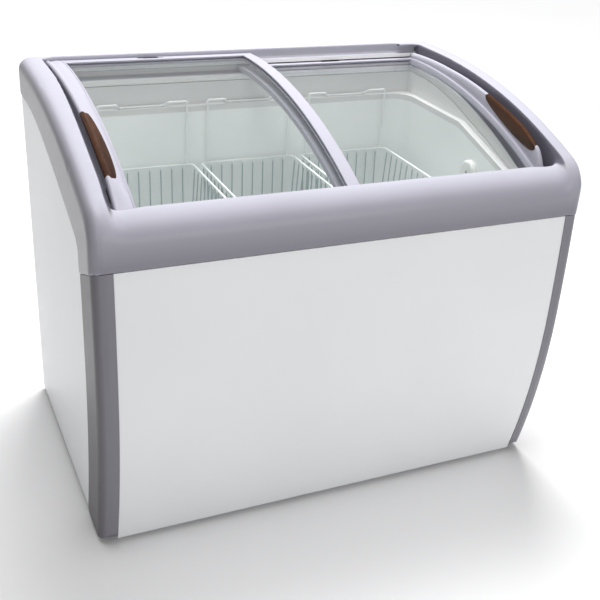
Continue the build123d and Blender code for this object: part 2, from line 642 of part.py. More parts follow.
def fan_blade():
    """Five pitched blades on a hub, and the shaft into the motor."""
    hub = Pos(0, 0, 0) * Rot(90, 0, 0) * Cylinder(18, 16)
    hub = fillet(hub.edges().group_by(Axis.Y)[0], 4)
    blade_face = Plane.XY * RectangleRounded(FAN_R - 15, 46, 12)
    for i in range(5):
        blade = Pos((FAN_R + 15) / 2 - 1, 0, 0) * Rot(62, 0, 0) * extrude(blade_face, amount=1.2, both=True)
        hub += Rot(0, 72 * i, 0) * blade
    hub += Pos(0, 18, 0) * Rot(90, 0, 0) * Cylinder(3, 28)
    return Pos(FAN_X, FAN_Y, FAN_Z) * hub


def filter_drier():
    body = Pos(238, 60, 210) * Rot(90, 0, 0) * Cylinder(11, 90)
    body = fillet(body.edges().filter_by(GeomType.CIRCLE), 6)
    return body + Pos(238, 60, 210) * Rot(90, 0, 0) * Cylinder(3, 130)


def rear_grille():
    """Recessed plastic tray over the bay opening, with rows of air slots."""
    x0, x1, z0, z1 = BAY_X0 + 14.3, BODY_W / 2 - 31.3, 34.3, BAY_TOP - 16.3
    face_y = 312.0
    tray = box(x0, x1, face_y, 333, z0, z1) - box(x0 + 2, x1 - 2, face_y + 2, 340, z0 + 2, z1 - 2)
    tray += box(x0 - 10, x1 + 10, 333, 335, z0 - 10, z1 + 10) - box(x0 + 2, x1 - 2, 330, 340, z0 + 2, z1 - 2)
    middle = (x0 + x1) / 2
    for z in range(52, 205, 14):
        for a, b in ((x0 + 14, middle - 5), (middle + 5, x1 - 14)):
            tray -= box(a, b, face_y - 1, face_y + 3, z, z + 7)
    tray -= Pos(KNOB_X, face_y, KNOB_Z) * Rot(90, 0, 0) * Cylinder(5, 10)
    tray -= Pos(INLET_X, face_y, KNOB_Z) * Rot(90, 0, 0) * Cylinder(8.2, 10)
    for x, z in grille_screw_places():
        tray -= Pos(x, 334, z) * Rot(90, 0, 0) * Cylinder(2.1, 6)
    return tray


def grille_screw_places():
    x0, x1 = BAY_X0 + 9.3, BODY_W / 2 - 26.3
    return [(x, z) for x in (x0, (x0 + x1) / 2, x1) for z in (29.3, BAY_TOP - 11.3)]


def grille_screws():
    out = []
    for x, z in grille_screw_places():
        turn = Pos(x, 335, z) * Rot(-90, 0, 0)
        head = turn * (Pos(0, 0, 0.7) * Cylinder(4, 1.4) - Pos(0, 0, 1.2) * Box(5, 0.9, 1))
        out.append(head + turn * Pos(0, 0, -0.9) * Cylinder(2.1, 2))
    return Compound(out)


def thermostat_body():
    body = box(KNOB_X - 18, KNOB_X + 18, 282, 311.9, KNOB_Z - 14, KNOB_Z + 14)
    body = fillet(body.edges().filter_by(Axis.Y), 3)
    return body - Pos(KNOB_X, 305, KNOB_Z) * Rot(90, 0, 0) * Cylinder(3.06, 30)


def thermostat_knob():
    """Turning knob with a pointer rib, on its spindle."""
    knob = Pos(0, 0, 6) * Cylinder(17, 12)
    knob = fillet(knob.edges().group_by(Axis.Z)[-1], 2)
    knob += Pos(0, 0, 12) * Box(5, 30, 6)
    knob += Pos(0, 0, -10) * Cylinder(3, 22)
    return Pos(KNOB_X, 314.6, KNOB_Z) * Rot(-90, 0, 0) * knob


def power_inlet():
    """Cord gland in the grille, with its lock nut."""
    turn = Pos(INLET_X, 314, KNOB_Z) * Rot(-90, 0, 0)
    body = turn * (Pos(0, 0, -6) * Cylinder(8, 20) + Pos(0, 0, 3) * Cylinder(12, 6) + Pos(0, 0, 10) * Cylinder(9, 9))
    body += turn * extrude(Pos(0, 0, -9) * RegularPolygon(12, 6), amount=6)
    return body - turn * Cylinder(4.2, 60)


def frame_screws():
    """Screws through the back panel into the frame."""
    out = []
    for i in range(5):
        turn = Pos(-400 + 200 * i, 333, RAIL_LOW - 12) * Rot(-90, 0, 0)
        out.append(turn * (Pos(0, 0, 0.8) * Cylinder(4, 1.6)))
    return Compound(out)


# ---------------------------------------------------------------- foam
def foam_insulation(others):
    """Foam between the outer panels, the tub and the machine bay."""
    z0 = FOOT_H + 1.5
    front = front_edges(SHEET + 0.2, z0, PANEL_TOP - 4)
    back = Line((331, z0), (331, RAIL_LOW + 40))
    top = Line((331, RAIL_LOW + 40), (-300, RAIL_LOW + 40))
    edge = Line((-300, RAIL_LOW + 40), front[-1] @ 1)
    body = along_x(front + [back, top, edge, Line(front[0] @ 0, (331, z0))], -498, 498)
    body &= under_frame(0) + box(-500, 500, -340, -328, 0, PANEL_TOP - 5)
    hole = box(-OPEN_HALF - SKIRT_T, OPEN_HALF + SKIRT_T, OPEN_FRONT - SKIRT_T, OPEN_REAR + SKIRT_T, 500, 900)
    body -= hole - below_rim()
    body -= tub(LINER_T, 760)
    body -= box(BAY_X0 - SHEET, 510, BAY_Y0 - SHEET, 340, 0, BAY_TOP + SHEET)
    for side in (-1, 1):
        inner, outer = side * (PANEL_HALF - 4), side * 520
        body -= box(min(inner, outer), max(inner, outer), -400, -150, 0, 700)
    body -= Pos(DRAIN_X, DRAIN_Y, 60) * Cylinder(DRAIN_BORE + 3, 140)
    body -= box(-500, 500, -340, BAY_FRONT, PANEL_TOP - 14, 660)
    for other in others:
        body -= other
    return foam_blocks(body)


def foam_blocks(foam):
    """The foam as plain blocks that meet at the rim, at the tub's corners and round the bay."""
    far = 600
    over = box(-far, far, -far, far, 600, 900) - below_rim()
    neck = OPEN_HALF + SKIRT_T
    blocks = [foam & over & box(*span, -far, far, 600, 900) for span in ((-far, -neck), (neck, far))]
    blocks += [foam & over & box(-neck, neck, *span, 600, 900) for span in ((-far, 0), (0, far))]
    rest = foam - over
    low, bay, bay_top = LINER_FLOOR + 18, BAY_X0 - SHEET, BAY_TOP + SHEET
    step, step_top = STEP_X + LINER_T, STEP_Z - LINER_T
    x1, y0, y1 = LINER_HALF - LINER_R, LINER_FRONT + LINER_R, LINER_REAR - LINER_R
    spaces = [box(-far, bay, -far, far, 0, low), box(bay, far, -far, far, 0, bay_top),
              box(step, bay, -far, far, low, bay_top), box(step, far, -far, far, bay_top, step_top)]
    for start, end, bottom in ((-x1, step, low), (step, x1, step_top)):
        spaces += [box(start, end, -far, 0, bottom, far + 200), box(start, end, 0, far, bottom, far + 200)]
    for start, end, bottom in ((-far, -x1, low), (x1, far, step_top)):
        for a, b in ((-far, y0), (y0, y1), (y1, far)):
            spaces.append(box(start, end, a, b, bottom, far + 200))
    blocks += [rest & space for space in spaces]
    return Compound([solid for block in blocks for solid in block.solids()])


# ---------------------------------------------------------------- all nodes
def build_nodes():
    nodes = {"front_panel": front_panel(), "back_panel": back_panel(), "base_plate": base_plate(),
             "top_frame": top_frame(), "inner_skirt": inner_skirt(), "liner": liner(),
             "drain_tube": drain_tube(), "drain_plug": drain_plug(), "sensor_cap": sensor_cap(),
             "sensor_screw": sensor_screw(), "sensor_probe": sensor_probe(),
             "machine_bay_wall": machine_bay_wall(), "compressor": compressor(),
             "compressor_grommets": compressor_grommets(), "compressor_bolts": compressor_bolts(),
             "start_relay_box": start_relay_box(), "condenser_coil": condenser_coil(),
             "fan_bracket": fan_bracket(), "fan_motor": fan_motor(), "fan_blade": fan_blade(),
             "filter_drier": filter_drier(), "rear_grille": rear_grille(), "grille_screws": grille_screws(),
             "thermostat_body": thermostat_body(), "thermostat_knob": thermostat_knob(),
             "power_inlet": power_inlet(), "frame_screws": frame_screws()}
    nodes["right_side_panel"], nodes["left_side_panel"] = both_sides(side_panel())
    nodes["right_corner_post"], nodes["left_corner_post"] = both_sides(corner_post())
    for name, side in (("left", -1), ("right", 1)):
        for piece, solid in lid_parts(side).items():
            nodes[f"lid_{name}_{piece}"] = solid
        for end, y in (("front", -215), ("rear", 300)):
            nodes[f"floor_pad_{end}_{name}"] = floor_pad(side * 455, y)
    panels = basket_panels(basket())
    for name, place in (("left", -1), ("middle", 0), ("right", 1)):
        nodes[f"basket_{name}"] = Pos(place * BASKET_PITCH, 0, 0) * panels
    nodes["evaporator_tube"] = evaporator_tube()
    hidden = [nodes[n] for n in ("evaporator_tube", "liner", "inner_skirt", "front_panel")]
    nodes["foam_insulation"] = foam_insulation(hidden)
    return nodes


os.makedirs("parts", exist_ok=True)
for node, shape in build_nodes().items():
    export_step(shape, f"parts/{node}.step")
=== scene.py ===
import bmesh
import bpy
import json
import math

import numpy as np
from mathutils import Matrix, Vector


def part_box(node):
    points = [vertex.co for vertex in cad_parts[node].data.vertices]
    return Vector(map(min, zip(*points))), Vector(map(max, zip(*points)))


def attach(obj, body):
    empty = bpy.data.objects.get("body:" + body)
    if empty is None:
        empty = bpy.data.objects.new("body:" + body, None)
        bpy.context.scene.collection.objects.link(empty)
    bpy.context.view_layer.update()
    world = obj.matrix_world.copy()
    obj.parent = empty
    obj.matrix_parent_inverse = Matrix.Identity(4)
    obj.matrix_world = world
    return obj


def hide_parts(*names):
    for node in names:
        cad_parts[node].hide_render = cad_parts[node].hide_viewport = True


# Looks of the curved-glass chest freezer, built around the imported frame.
# Metres, X left to right, Y front to back, Z up. The floor is Z = 0.

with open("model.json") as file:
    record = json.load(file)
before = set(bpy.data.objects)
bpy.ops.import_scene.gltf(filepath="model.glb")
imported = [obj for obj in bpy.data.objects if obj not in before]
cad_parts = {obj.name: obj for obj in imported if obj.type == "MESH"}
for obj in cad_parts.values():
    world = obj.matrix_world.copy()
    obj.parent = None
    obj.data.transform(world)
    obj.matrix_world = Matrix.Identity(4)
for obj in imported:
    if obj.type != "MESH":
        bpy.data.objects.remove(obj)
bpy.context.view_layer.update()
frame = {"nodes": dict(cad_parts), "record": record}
nodes = frame["nodes"]

# ---- camera ----
CAMERA_AT = (-0.7947, -1.7612, 1.3251)
CAMERA_YAW = 25.252        # degrees, turned right of straight ahead
CAMERA_PITCH = 27.073      # degrees, looking down
CAMERA_ROLL = 3.6055       # degrees
CAMERA_LENS = 57.394       # millimetres on a 36 mm sensor

# ---- colours ----
LILAC = (0.410, 0.403, 0.463)            # frame and lids
LILAC_SIDES_SHADE = (0.190, 0.184, 0.208)      # painted shade on the frame's outer sides
LILAC_BAND_SHADE = (0.235, 0.230, 0.268)       # painted shade on the lower edge of the front band
# corner posts: the frame's lilac at half its brightness, painted shade on the same plastic
POST_LILAC_SHADE = (0.205, 0.198, 0.226)
# painted shade on the corner posts' outward-facing sides
POST_SIDES_SHADE = (0.098, 0.091, 0.102)
TRACK_SHADE = (0.125, 0.120, 0.150)       # painted shade on the walls beside and under the lids
SIDE_WALL_LIGHT = (0.62, 0.615, 0.615)    # painted light: pale grey on the walls of the opening, left and right, against the shade under the rails
REAR_WALL_LIGHT = (0.86, 0.85, 0.84)      # painted light on the wall of the opening at the back, lighter than the sides, against the shade under the rail
# painted shade on the baskets' wires below the rim
LOWER_WIRE_SHADE = (0.40, 0.47, 0.48)
# the corner posts take the darker lilac copy, painted shade
OWN_LOOK = {"left_corner_post": "lilac_post_shaded", "right_corner_post": "lilac_post_shaded"}

# ---- heights and radii at which a material changes ----
BAND_LOW, BAND_HIGH = 0.630, 0.705       # where painted shade darkens the band's lower edge
REAR_WALL_LOW, REAR_WALL_HIGH = 0.806, 0.812
TRACK_EDGE = (-0.19, 0.19, 1.112, 1.137)   # y from and to, and the track's lower edge there
TRACK_SIDE = (0.436, 0.440)              # further out than this, the walls are all track
BASKET_RIM = (0.572, 0.577)              # just under the baskets' rim wire, where the wires' painted shade starts

# ---- lids: all of it lies on arcs about one line along X ----
AXIS_Y, AXIS_Z = 0.230, -0.346
LID_TOP = {"left": 1.170, "right": 1.144}          # radius of the top of each lid's rails
RIDGE = {"left": ((-0.217, 1.182), (-0.034, 1.180), (0.19, 1.173), (0.31, 1.171)),
         "right": ((-0.232, 1.178), (-0.180, 1.181), (-0.034, 1.171), (0.13, 1.161), (0.31, 1.155))}
GRIP = {"left": (-0.217, -0.018), "right": (-0.232, -0.034)}   # ends of the handle insert
RAMP_FRONT, RAMP_REAR = -0.280, 0.190              # where the grip dies into the stile
STILE_STEPS = 110
STILE_INNER = {"left": 0.411, "right": 0.430}      # the stile's edge along the glass
STILE_DEPTH = 0.012
GRIP_FOOT = {"left": 0.4225, "right": 0.4370}      # where the grip meets the flat of the stile
INSERT_STEPS = 60
INSERT_POINTS = 22
INSERT_PROUD = 0.0009
LEAF = {"left": 0.96, "right": 0.86}               # how far down the inner side the insert reaches
LEAF_LEAST = 0.22                                  # the same at the insert's ends
LEAF_BLUNT = {"left": 0.22, "right": 0.50}
LEAF_TAPER = {"left": 0.38, "right": 0.10}
SLOT_SHIFT = {"left": -0.018, "right": 0.0}
SLOT_HALF_X, SLOT_HALF_Y, SLOT_INSET = 0.0235, 0.0042, 0.0072
RAIL_ROUND = 0.0012

# ---- top frame ----
FRAME_VOXEL = 0.003
GAP_GROWTH = 0.012         # how much the gap beside the lids widens towards the front
CREST_TURNS = 16
CORNER_TURNS = 26
SKIN_TURNS = 4

# ---- studio ----
WORLD_LIGHT = 0.42
FLOOR_SIZE = 14.0
GLOW_FROM, GLOW_TO, GLOW = 1.1, 2.9, 0.58          # the floor glows with painted light behind the freezer


# ---------------------------------------------------------------- camera
def camera():
    data = bpy.data.cameras.new("camera")
    data.lens = CAMERA_LENS
    data.sensor_width = 36.0
    data.clip_end = 50.0
    obj = bpy.data.objects.new("camera", data)
    bpy.context.scene.collection.objects.link(obj)
    yaw, pitch, roll = (math.radians(a) for a in (CAMERA_YAW, CAMERA_PITCH, CAMERA_ROLL))
    ahead = Vector((math.sin(yaw) * math.cos(pitch), math.cos(yaw) * math.cos(pitch), -math.sin(pitch)))
    level = Vector((math.cos(yaw), -math.sin(yaw), 0.0))
    above = level.cross(ahead)
    right = math.cos(roll) * level + math.sin(roll) * above
    up = -math.sin(roll) * level + math.cos(roll) * above
    turn = Matrix((right, up, -ahead)).transposed().to_4x4()
    obj.matrix_world = Matrix.Translation(CAMERA_AT) @ turn
    bpy.context.scene.camera = obj


# ---------------------------------------------------------------- materials
class Nodes:
    """A node material with short calls for the nodes that the materials below share."""

    def __init__(self, name):
        self.mat = bpy.data.materials.new(name)
        self.mat.use_nodes = True
        self.tree = self.mat.node_tree
        self.tree.nodes.clear()
        self.out = self.add("ShaderNodeOutputMaterial")
        self.place = self.add("ShaderNodeTexCoord").outputs["Object"]

    def add(self, kind, **values):
        node = self.tree.nodes.new(kind)
        for key, value in values.items():
            setattr(node, key, value)
        return node

    def join(self, a, b):
        self.tree.links.new(a, b)

    def stretched(self, scale, shift=(0.0, 0.0, 0.0)):
        """Object place, scaled along each axis and then shifted."""
        node = self.add("ShaderNodeMapping")
        node.inputs["Location"].default_value = shift
        node.inputs["Scale"].default_value = scale
        self.join(self.place, node.inputs["Vector"])
        return node.outputs["Vector"]

    def noise(self, scale, detail=3.0, rough=0.5, place=None):
        node = self.add("ShaderNodeTexNoise")
        node.inputs["Scale"].default_value = scale
        node.inputs["Detail"].default_value = detail
        node.inputs["Roughness"].default_value = rough
        self.join(place or self.place, node.inputs["Vector"])
        return node.outputs["Fac"]

    def ramp(self, fac, low, high, a=0.0, b=1.0):
        """Grey from a to b as fac goes from low to high."""
        node = self.add("ShaderNodeMapRange")
        for key, value in (("From Min", low), ("From Max", high), ("To Min", a), ("To Max", b)):
            node.inputs[key].default_value = value
        self.join(fac, node.inputs["Value"])
        return node.outputs["Result"]

    def mix(self, fac, a, b):
        """Colour a to b by fac; a and b are colours or sockets."""
        node = self.add("ShaderNodeMix", data_type="RGBA")
        self.join(fac, node.inputs["Factor"])
        for value, key in ((a, 6), (b, 7)):
            if isinstance(value, tuple):
                node.inputs[key].default_value = (*value, 1.0)
            else:
                self.join(value, node.inputs[key])
        return node.outputs[2]

    def calc(self, operation, *values):
        """A sum on sockets and numbers."""
        node = self.add("ShaderNodeMath", operation=operation)
        for i, value in enumerate(values):
            if isinstance(value, float):
                node.inputs[i].default_value = value
            else:
                self.join(value, node.inputs[i])
        return node.outputs[0]

    def times(self, a, b):
        return self.calc("MULTIPLY", a, b)

    def split(self, socket):
        """The three parts of a vector."""
        node = self.add("ShaderNodeSeparateXYZ")
        self.join(socket, node.inputs[0])
        return node.outputs

    def facing(self):
        """The three parts of the surface's normal."""
        return self.split(self.add("ShaderNodeNewGeometry").outputs["Normal"])

    def outward(self):
        """1 where a surface faces away from the freezer's middle along X, -1 where it faces it."""
        return self.times(self.calc("SIGN", self.split(self.place)[0]), self.facing()[0])

    def arc_radius(self):
        """Distance from the line about which the lids slide."""
        length = self.add("ShaderNodeVectorMath", operation="LENGTH")
        self.join(self.stretched((0.0, 1.0, 1.0), (0.0, -AXIS_Y, -AXIS_Z)), length.inputs[0])
        return length.outputs["Value"]

    def edges(self):
        """1 on worn convex edges, 0 elsewhere."""
        geometry = self.add("ShaderNodeNewGeometry")
        return self.ramp(geometry.outputs["Pointiness"], 0.52, 0.62)

    def bump(self, height, strength, distance, normal=None):
        node = self.add("ShaderNodeBump")
        node.inputs["Strength"].default_value = strength
        node.inputs["Distance"].default_value = distance
        self.join(height, node.inputs["Height"])
        if normal:
            self.join(normal, node.inputs["Normal"])
        return node.outputs["Normal"]

    def surface(self, color, roughness, normal=None, **plain):
        """The Principled shader. color and roughness are sockets, plain holds fixed sockets."""
        node = self.add("ShaderNodeBsdfPrincipled")
        self.join(color, node.inputs["Base Color"])
        self.join(roughness, node.inputs["Roughness"])
        if normal:
            self.join(normal, node.inputs["Normal"])
        for key, value in plain.items():
            node.inputs[key.replace("_", " ")].default_value = value
        self.join(node.outputs[0], self.out.inputs["Surface"])
        return self.mat


def shade(color, k):
    return tuple(min(1.0, c * k) for c in color)


def moulded(name, color, rough=0.38, grain=900.0, mottle=0.03, shaded=None):
    """Satin moulded plastic: fine grain, faint mottling, edges rubbed a little lighter."""
    m = Nodes(name)
    cloud = m.ramp(m.noise(5.0, 4.0), 0.3, 0.7)
    tone = m.mix(cloud, shade(color, 1 - mottle), shade(color, 1 + mottle))
    tone = m.mix(m.times(m.edges(), 0.15), tone, shade(color, 1.3))
    if shaded:
        tone = shaded(m, tone)
    polish = m.ramp(m.noise(38.0, 5.0), 0.2, 0.8, rough - 0.015, rough + 0.02)
    fine = m.bump(m.noise(grain, 2.0), 0.10, 0.0004)
    wave = m.bump(m.noise(9.0, 1.0), 0.02, 0.004, fine)
    return m.surface(tone, polish, wave, Specular_IOR_Level=0.3)


# Painted shade: the corner posts' sides that face away from the middle are darkened.
def post_side_shade(m, tone):
    return m.mix(m.ramp(m.outward(), 0.45, 0.95), tone, POST_SIDES_SHADE)


def frame_walls(m, tone):
    """Painted shade on the outer sides, the band's lower edge and the tracks, and painted light on the pale
    walls of the opening below the tracks.
    """
    facing, place, outward = m.facing(), m.split(m.place), m.outward()
    # painted shade, darker towards the band's lower edge
    band = m.times(m.ramp(facing[1], -0.5, -0.95), m.ramp(place[2], BAND_HIGH, BAND_LOW))
    tone = m.mix(band, tone, LILAC_BAND_SHADE)
    # painted shade on the frame's outer sides
    tone = m.mix(m.ramp(outward, 0.45, 0.95), tone, LILAC_SIDES_SHADE)
    inward = m.ramp(outward, -0.50, -0.72)
    above = m.ramp(m.calc("SUBTRACT", m.arc_radius(), m.ramp(place[1], *TRACK_EDGE)), -0.0008, 0.0008)
    track = m.calc("MAXIMUM", above, m.ramp(m.calc("ABSOLUTE", place[0]), *TRACK_SIDE))
    # painted light on the rear wall of the opening, below the lids
    rear = m.times(m.ramp(facing[1], -0.6, -0.9), m.ramp(place[1], 0.26, 0.27))
    rear = m.times(rear, m.ramp(place[2], REAR_WALL_LOW, REAR_WALL_HIGH, 1.0, 0.0))
    # painted light on the side walls of the opening below the tracks
    tone = m.mix(inward, tone, SIDE_WALL_LIGHT)
    tone = m.mix(rear, tone, REAR_WALL_LIGHT)
    # painted shade on the track walls beside and under the lids
    return m.mix(m.times(inward, track), tone, TRACK_SHADE)


def wire_shade(m, tone):
    """Painted shade: the coating greys below the rim, where the lower wires lie in shade."""
    return m.mix(m.ramp(m.split(m.place)[2], *BASKET_RIM, 1.0, 0.0), tone, LOWER_WIRE_SHADE)


def enamelled(name, color, rough=0.40, mottle=0.03):
    """Powder-coated sheet: orange peel, slow waves in the sheet, faint wipe marks."""
    m = Nodes(name)
    cloud = m.ramp(m.noise(2.6, 3.0), 0.35, 0.65)
    tone = m.mix(cloud, shade(color, 1 - mottle), color)
    wipe = m.noise(3.5, 5.0, 0.55, m.stretched((1.0, 1.0, 2.2)))
    polish = m.ramp(wipe, 0.25, 0.75, rough - 0.02, rough + 0.04)
    peel = m.bump(m.noise(420.0, 2.0), 0.05, 0.0005)
    wave = m.bump(m.noise(2.2, 1.0), 0.05, 0.01, peel)
    return m.surface(tone, polish, wave, Specular_IOR_Level=0.3)


def metal(name, color, rough=0.32):
    """Bare metal with fine drawn lines and dull patches."""
    m = Nodes(name)
    lines = m.noise(60.0, 4.0, 0.6, m.stretched((1.0, 1.0, 40.0)))
    tone = m.mix(m.ramp(m.noise(7.0, 5.0), 0.3, 0.7), shade(color, 0.82), color)
    tone = m.mix(m.times(lines, 0.25), tone, shade(color, 1.15))
    polish = m.ramp(lines, 0.25, 0.75, rough - 0.08, rough + 0.14)
    return m.surface(tone, polish, m.bump(lines, 0.08, 0.0004), Metallic=1.0)


def spangled(name, color):
    """Galvanised sheet with its crystal pattern."""
    m = Nodes(name)
    cells = m.add("ShaderNodeTexVoronoi")
    cells.inputs["Scale"].default_value = 70.0
    m.join(m.place, cells.inputs["Vector"])
    grey = m.add("ShaderNodeSeparateColor")
    m.join(cells.outputs["Color"], grey.inputs[0])
    tone = m.mix(grey.outputs[0], shade(color, 0.8), shade(color, 1.12))
    polish = m.ramp(grey.outputs[1], 0.0, 1.0, 0.34, 0.55)
    return m.surface(tone, polish, m.bump(grey.outputs[2], 0.05, 0.0003), Metallic=0.9)


def foam():
    """Foamed polyurethane: open cells and a blotched skin."""
    m = Nodes("rigid_foam")
    color = (0.80, 0.67, 0.36)
    tone = m.mix(m.ramp(m.noise(22.0, 6.0), 0.3, 0.7), shade(color, 0.8), color)
    cells = m.noise(650.0, 3.0)
    return m.surface(tone, m.ramp(cells, 0.3, 0.7, 0.75, 0.95), m.bump(cells, 0.5, 0.001))


def wood_look():
    """Glossy brown insert with long streaks of grain."""
    m = Nodes("wood_look_insert")
    grain = m.noise(150.0, 6.0, 0.65, m.stretched((1.0, 0.06, 1.0)))
    band = m.noise(26.0, 3.0, 0.5, m.stretched((1.0, 0.12, 1.0)))
    tone = m.mix(m.ramp(grain, 0.32, 0.68), (0.012, 0.004, 0.002), (0.045, 0.015, 0.006))
    tone = m.mix(m.times(m.ramp(band, 0.35, 0.65), 0.4), tone, (0.110, 0.042, 0.014))
    polish = m.ramp(grain, 0.3, 0.7, 0.20, 0.28)
    return m.surface(tone, polish, m.bump(grain, 0.04, 0.0003), Specular_IOR_Level=0.35)


def clear_glass():
    """Tempered glass: it passes light with a faint green tint and mirrors it more at a slant."""
    m = Nodes("lid_glass")
    smear = m.noise(4.0, 5.0, 0.6, m.stretched((1.0, 3.0, 1.0)))
    through = m.add("ShaderNodeBsdfTransparent")
    tint = m.mix(m.ramp(smear, 0.3, 0.7), (0.965, 0.975, 0.97), (0.985, 0.992, 0.988))
    m.join(tint, through.inputs["Color"])
    mirror = m.add("ShaderNodeBsdfGlossy")
    mirror.inputs["Color"].default_value = (0.96, 0.98, 1.0, 1.0)
    m.join(m.ramp(smear, 0.3, 0.7, 0.02, 0.06), mirror.inputs["Roughness"])
    slant = m.calc("POWER", m.add("ShaderNodeLayerWeight").outputs["Facing"], 4.0)
    both = m.add("ShaderNodeMixShader")
    m.join(m.ramp(slant, 0.0, 1.0, 0.035, 0.75), both.inputs[0])
    m.join(through.outputs[0], both.inputs[1])
    m.join(mirror.outputs[0], both.inputs[2])
    m.join(both.outputs[0], m.out.inputs["Surface"])
    return m.mat


def all_materials():
    return {
        "white_steel": enamelled("white_enamel", (0.80, 0.81, 0.82)),
        "galvanised": spangled("galvanised_sheet", (0.50, 0.51, 0.53)),
        "lilac_plastic": moulded("lilac_moulding", LILAC, 0.31),
        "lilac_post_shaded": moulded("lilac_post_shaded", POST_LILAC_SHADE, 0.40, shaded=post_side_shade),
        "lilac_frame": moulded("lilac_frame", LILAC, 0.31, shaded=frame_walls),
        "skirt_plastic": moulded("grey_neck", (0.72, 0.715, 0.715), 0.42),
        "white_liner": moulded("white_liner", (0.92, 0.94, 0.935), 0.30, 500.0, 0.02),
        "foam": foam(),
        "glass": clear_glass(),
        "wood_insert": wood_look(),
        "glide_plastic": moulded("dark_glide", (0.05, 0.05, 0.055), 0.45),
        "rubber": moulded("black_rubber", (0.025, 0.025, 0.027), 0.62, 600.0),
        "white_wire": moulded("coated_wire", (0.88, 0.90, 0.90), 0.28, 1500.0, 0.03, wire_shade),
        "white_plastic": moulded("white_plastic", (0.83, 0.83, 0.81), 0.30),
        "black_plastic": moulded("black_plastic", (0.022, 0.022, 0.024), 0.45),
        "black_steel": enamelled("black_enamel", (0.016, 0.016, 0.018), 0.25),
        "copper": metal("copper_tube", (0.72, 0.38, 0.20), 0.28),
        "aluminium": metal("aluminium_fins", (0.74, 0.75, 0.76)),
        "zinc_steel": metal("zinc_plated", (0.62, 0.62, 0.64)),
    }


def dress_cad(materials):
    """Gives every CAD node the material of its slot in the record; the corner posts get a darker copy of
    the lilac instead, as painted shade.
    """
    slots = {part["node"]: part["material_slot"] for part in frame["record"]["subparts"]}
    for name, obj in nodes.items():
        obj.data.materials.clear()
        obj.data.materials.append(materials[OWN_LOOK.get(name, slots[name])])


# ---------------------------------------------------------------- meshes
def object_of(name, mesh):
    obj = bpy.data.objects.new(name, mesh)
    bpy.context.scene.collection.objects.link(obj)
    return obj


def smooth_shading(mesh, angle):
    mesh.shade_smooth()
    mesh.set_sharp_from_angle(angle=math.radians(angle))


def finished(obj, body, slot, material, *replaced):
    obj.data.materials.clear()
    obj.data.materials.append(material)
    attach(obj, body)
    if replaced:
        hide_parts(*replaced)


def applied(obj):
    """The object's mesh with its modifiers applied."""
    graph = bpy.context.evaluated_depsgraph_get()
    mesh = bpy.data.meshes.new_from_object(obj.evaluated_get(graph))
    obj.modifiers.clear()
    obj.data = mesh
    return mesh


def welded_copy(node, name):
    """A copy of a CAD node's mesh with its doubled vertices merged."""
    mesh = nodes[node].data.copy()
    bm = bmesh.new()
    bm.from_mesh(mesh)
    bmesh.ops.remove_doubles(bm, verts=bm.verts, dist=1e-5)
    bm.to_mesh(mesh)
    bm.free()
    return object_of(name, mesh)


def softened(node, body, slot, material):
    """The node again with its sharp edges rounded over."""
    obj = welded_copy(node, node + "_softened")
    bevel = obj.modifiers.new("round", "BEVEL")
    bevel.width, bevel.segments = RAIL_ROUND, 3
    bevel.limit_method, bevel.angle_limit = "ANGLE", math.radians(50)
    bevel.use_clamp_overlap = True
    smooth_shading(applied(obj), 50)
    finished(obj, body, slot, material, node)


def relaxed(mesh, weight, turns):
    """Moves each vertex towards the middle of its neighbours, by its own weight."""
    count = len(mesh.vertices)
    co = np.empty(count * 3)
    mesh.vertices.foreach_get("co", co)
    co = co.reshape(-1, 3)
    ends = np.empty(len(mesh.edges) * 2, int)
    mesh.edges.foreach_get("vertices", ends)
    a, b = ends[0::2], ends[1::2]
    degree = np.bincount(a, minlength=count) + np.bincount(b, minlength=count)
    w = weight(co)[:, None] * 0.5
    for _ in range(turns):
        total = np.stack([np.bincount(a, co[b, i], count) + np.bincount(b, co[a, i], count)
                          for i in range(3)], axis=1)
        co = co + w * (total / np.maximum(degree, 1)[:, None] - co)
    mesh.vertices.foreach_set("co", co.ravel())
    mesh.update()


def loft(name, rings):
    """Closed skin through rings with the same number of points."""
    bm = bmesh.new()
    rows = [[bm.verts.new(p) for p in ring] for ring in rings]
    n = len(rows[0])
    for a, b in zip(rows, rows[1:]):
        for i in range(n):
            bm.faces.new((a[i], a[(i + 1) % n], b[(i + 1) % n], b[i]))
    bm.faces.new(rows[0])
    bm.faces.new(rows[-1])
    bmesh.ops.recalc_face_normals(bm, faces=bm.faces)
    mesh = bpy.data.meshes.new(name)
    bm.to_mesh(mesh)
    bm.free()
    return object_of(name, mesh)


def steps(v, low, high):
    """Smooth step from 0 at low to 1 at high, for arrays."""
    t = np.clip((v - low) / (high - low), 0.0, 1.0)
    return t * t * (3 - 2 * t)


def ease(v, low, high):
    """The same for one number."""
    return float(steps(np.array(v), low, high))


# ---------------------------------------------------------------- top frame
def widened(mesh, half):
    """Moves the rails' inner walls outwards towards the front, where the gap beside the lids grows."""
    for v in mesh.vertices:
        x, y, z = abs(v.co.x), v.co.y, v.co.z
        if x < half - 0.012 or math.hypot(y - AXIS_Y, z - AXIS_Z) < LID_TOP["right"] - 0.03:
            continue
        share = ease(x, half - 0.012, half - 0.001) * ease(-x, -half - 0.05, -half - 0.003)
        v.co.x += math.copysign(GAP_GROWTH * share * (0.35 + 0.65 * ease(-y, -0.2, 0.2)), v.co.x)


